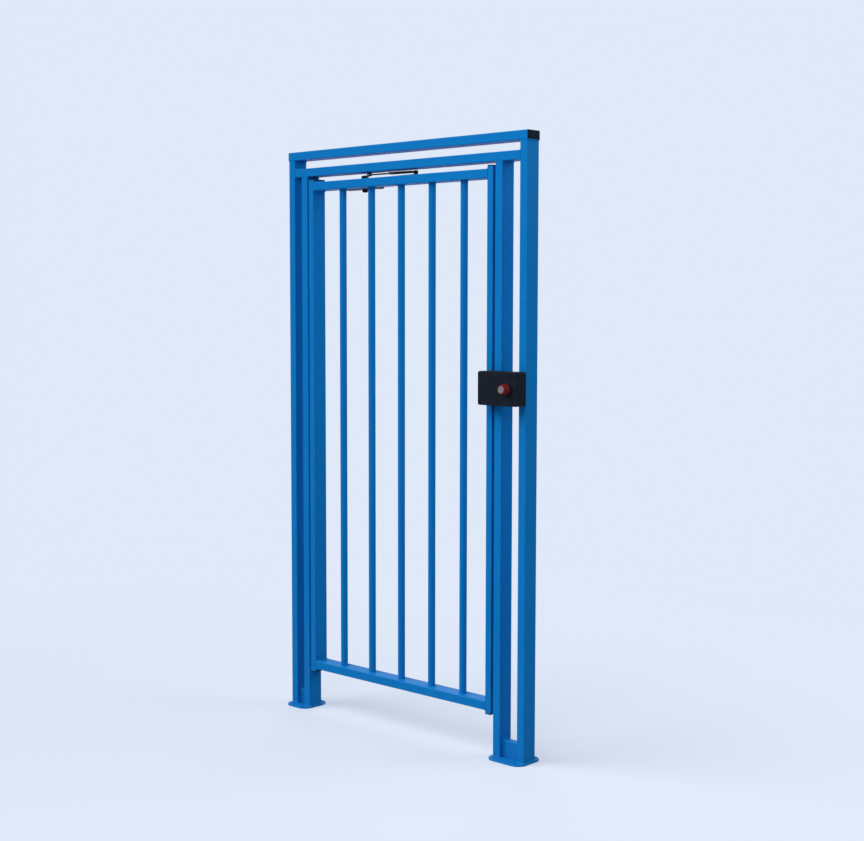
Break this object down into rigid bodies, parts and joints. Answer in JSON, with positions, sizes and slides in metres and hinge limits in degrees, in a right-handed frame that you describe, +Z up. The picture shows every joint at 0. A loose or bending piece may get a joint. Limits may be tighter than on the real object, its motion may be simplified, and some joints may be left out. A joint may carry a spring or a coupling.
{
  "type": "full height pedestrian gate",
  "caption": "Full height pedestrian gate: painted tube frame on base plates, barred leaf on lift-off hinges, overhead closer with jointed arms, and a lock case with a push knob.",
  "frame": {"origin": "centre of the underside of the hinge side base plate, on the ground", "axes": "+Z up, +X along the gate from the hinge side to the latch side, +Y from the lock side to the side the leaf opens to"},
  "size_m": [1.222, 0.203, 2.195],
  "materials": {
    "blue_paint": "satin blue powder coat",
    "black_plastic": "matt black moulded plastic",
    "closer_black": "satin black enamel",
    "bare_steel": "turned steel",
    "lock_black": "fine textured black",
    "red_plastic": "gloss red",
    "knob_silver": "satin silver"
  },
  "bodies": {
    "frame": {"hinge_outer_post": "blue_paint", "hinge_inner_post": "blue_paint", "latch_inner_post": "blue_paint", "latch_outer_post": "blue_paint", "top_rail": "blue_paint", "header_rail": "blue_paint", "hinge_side_rail_cap": "black_plastic", "latch_side_rail_cap": "black_plastic", "hinge_base_plate": "blue_paint", "latch_base_plate": "blue_paint", "hinge_foot_spacer": "blue_paint", "latch_foot_spacer": "blue_paint", "post_hinge_1": "blue_paint", "post_hinge_2": "blue_paint", "post_hinge_3": "blue_paint", "closer_shoe": "closer_black", "lock_back_plate": "lock_black", "lock_case": "lock_black", "lock_cover": "lock_black", "knob_collar": "lock_black"},
    "leaf": {"leaf_hinge_stile": "blue_paint", "leaf_latch_stile": "blue_paint", "leaf_top_rail": "blue_paint", "leaf_bottom_rail": "blue_paint", "leaf_bar_1": "blue_paint", "leaf_bar_2": "blue_paint", "leaf_bar_3": "blue_paint", "leaf_bar_4": "blue_paint", "leaf_bar_5": "blue_paint", "hinge_stile_top_plug": "black_plastic", "hinge_stile_bottom_plug": "black_plastic", "latch_stile_top_plug": "black_plastic", "latch_stile_bottom_plug": "black_plastic", "leaf_hinge_1": "blue_paint", "leaf_hinge_2": "blue_paint", "leaf_hinge_3": "blue_paint", "closer_body": "closer_black", "closer_pinion_cap": "black_plastic"},
    "main_arm": {"closer_spindle": "bare_steel", "closer_main_arm": "closer_black"},
    "forearm": {"closer_forearm": "closer_black", "closer_forearm_rod": "bare_steel"},
    "knob": {"push_knob": "red_plastic", "push_knob_face": "knob_silver"}
  },
  "joints": [
    {"name": "leaf_swing", "type": "hinge", "parent": "frame", "child": "leaf", "pos_m": [0.056, 0.041, 1.1185], "axis": [0, 0, 1], "range_deg": [0, 90], "stiffness_Nm_per_rad": 6, "springref_deg": -28.65},
    {"name": "main_arm_turn", "type": "hinge", "parent": "leaf", "child": "main_arm", "pos_m": [0.283, 0.056, 2.0785], "axis": [0, 0, 1], "range_deg": [-90, 0]},
    {"name": "forearm_turn", "type": "hinge", "parent": "frame", "child": "forearm", "pos_m": [0.351, 0.012, 2.09], "axis": [0, 0, 1], "range_deg": [0, 90]},
    {"name": "knob_push", "type": "slide", "parent": "frame", "child": "knob", "axis": [0, 1, 0], "range_m": [0, 0.004], "stiffness_N_per_m": 800}
  ],
  "couplings": [
    {"joint": "main_arm_turn", "follows": "leaf_swing", "ratio": -1},
    {"joint": "forearm_turn", "follows": "leaf_swing", "ratio": 1}
  ]
}
